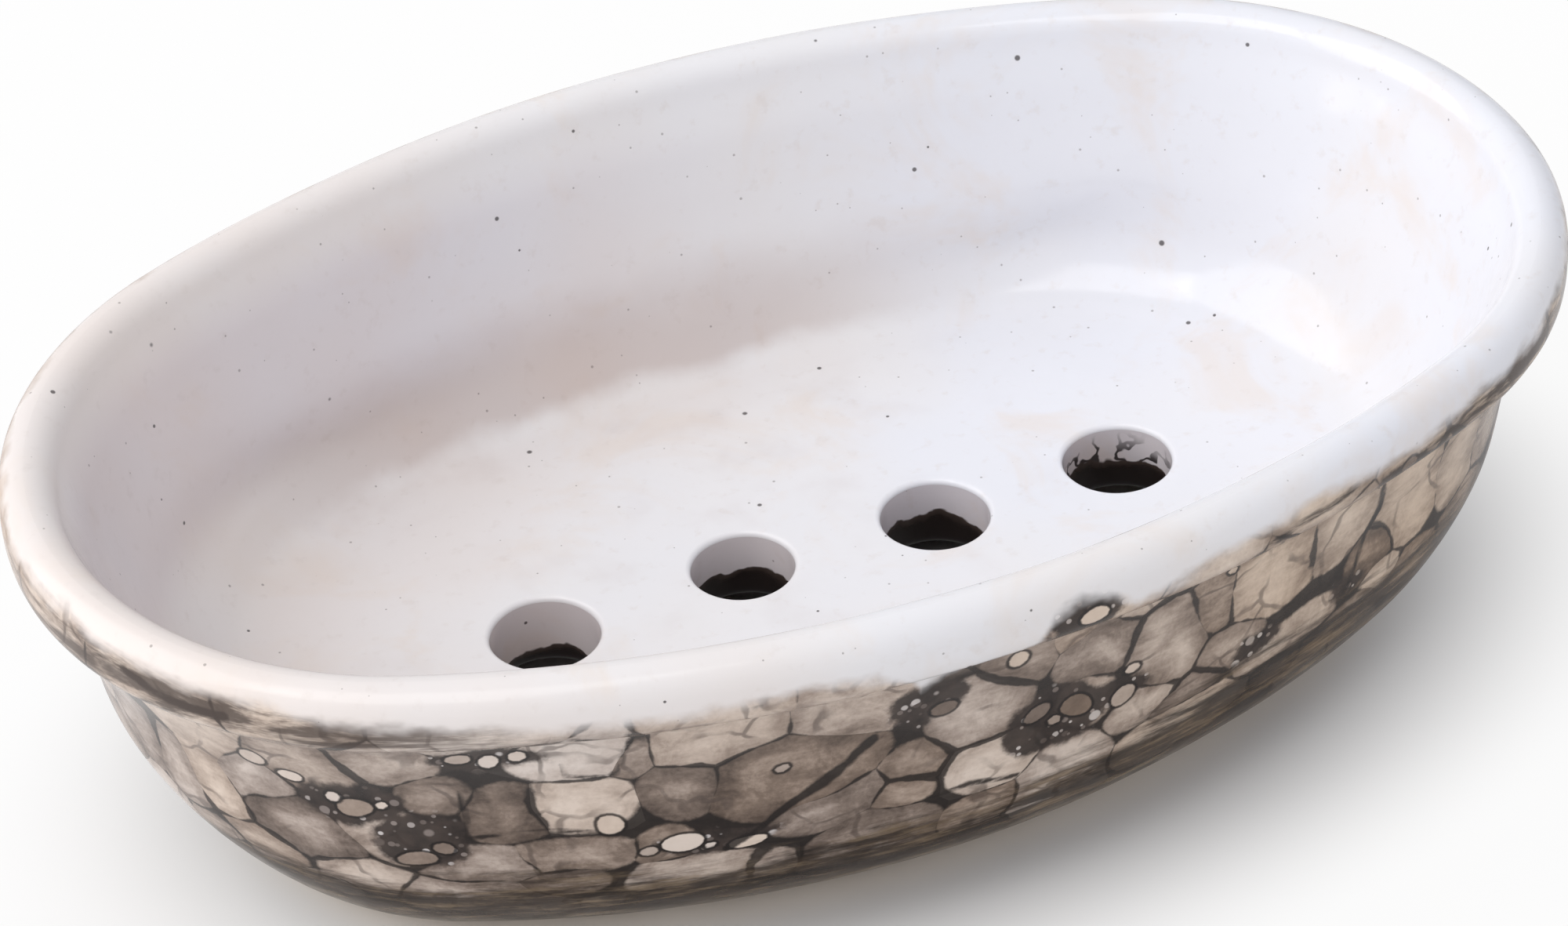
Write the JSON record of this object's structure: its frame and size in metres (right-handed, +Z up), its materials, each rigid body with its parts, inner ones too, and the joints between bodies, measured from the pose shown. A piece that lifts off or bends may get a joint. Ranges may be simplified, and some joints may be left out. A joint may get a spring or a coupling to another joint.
{
  "type": "soap dish",
  "caption": "Oval hand-made ceramic soap dish with a rolled lip, a row of drain holes in its floor, a white glazed inside and a dark bubble glaze outside, standing on a bare foot ring.",
  "frame": {"origin": "middle of the foot ring's flat underside", "axes": "+X along the dish, +Z up out of the bowl"},
  "size_m": [0.135, 0.085, 0.0384],
  "materials": {
    "stoneware": "bare fired stoneware, matte",
    "white_glaze": "glossy white glaze with fine iron specks",
    "bubble_glaze": "glossy off-white glaze with dark bubble outlines",
    "dark_glaze": "glossy brown-black glaze",
    "drain_glaze": "glossy white glaze meeting dark glaze below"
  },
  "bodies": {
    "root": {"foot_ring": "stoneware", "floor_slab": "stoneware", "wall_band": "stoneware", "liner_glaze": "white_glaze", "bubble_glaze": "bubble_glaze", "underside_glaze": "dark_glaze", "drain_glaze_1": "drain_glaze", "drain_glaze_2": "drain_glaze", "drain_glaze_3": "drain_glaze", "drain_glaze_4": "drain_glaze"}
  },
  "joints": []
}
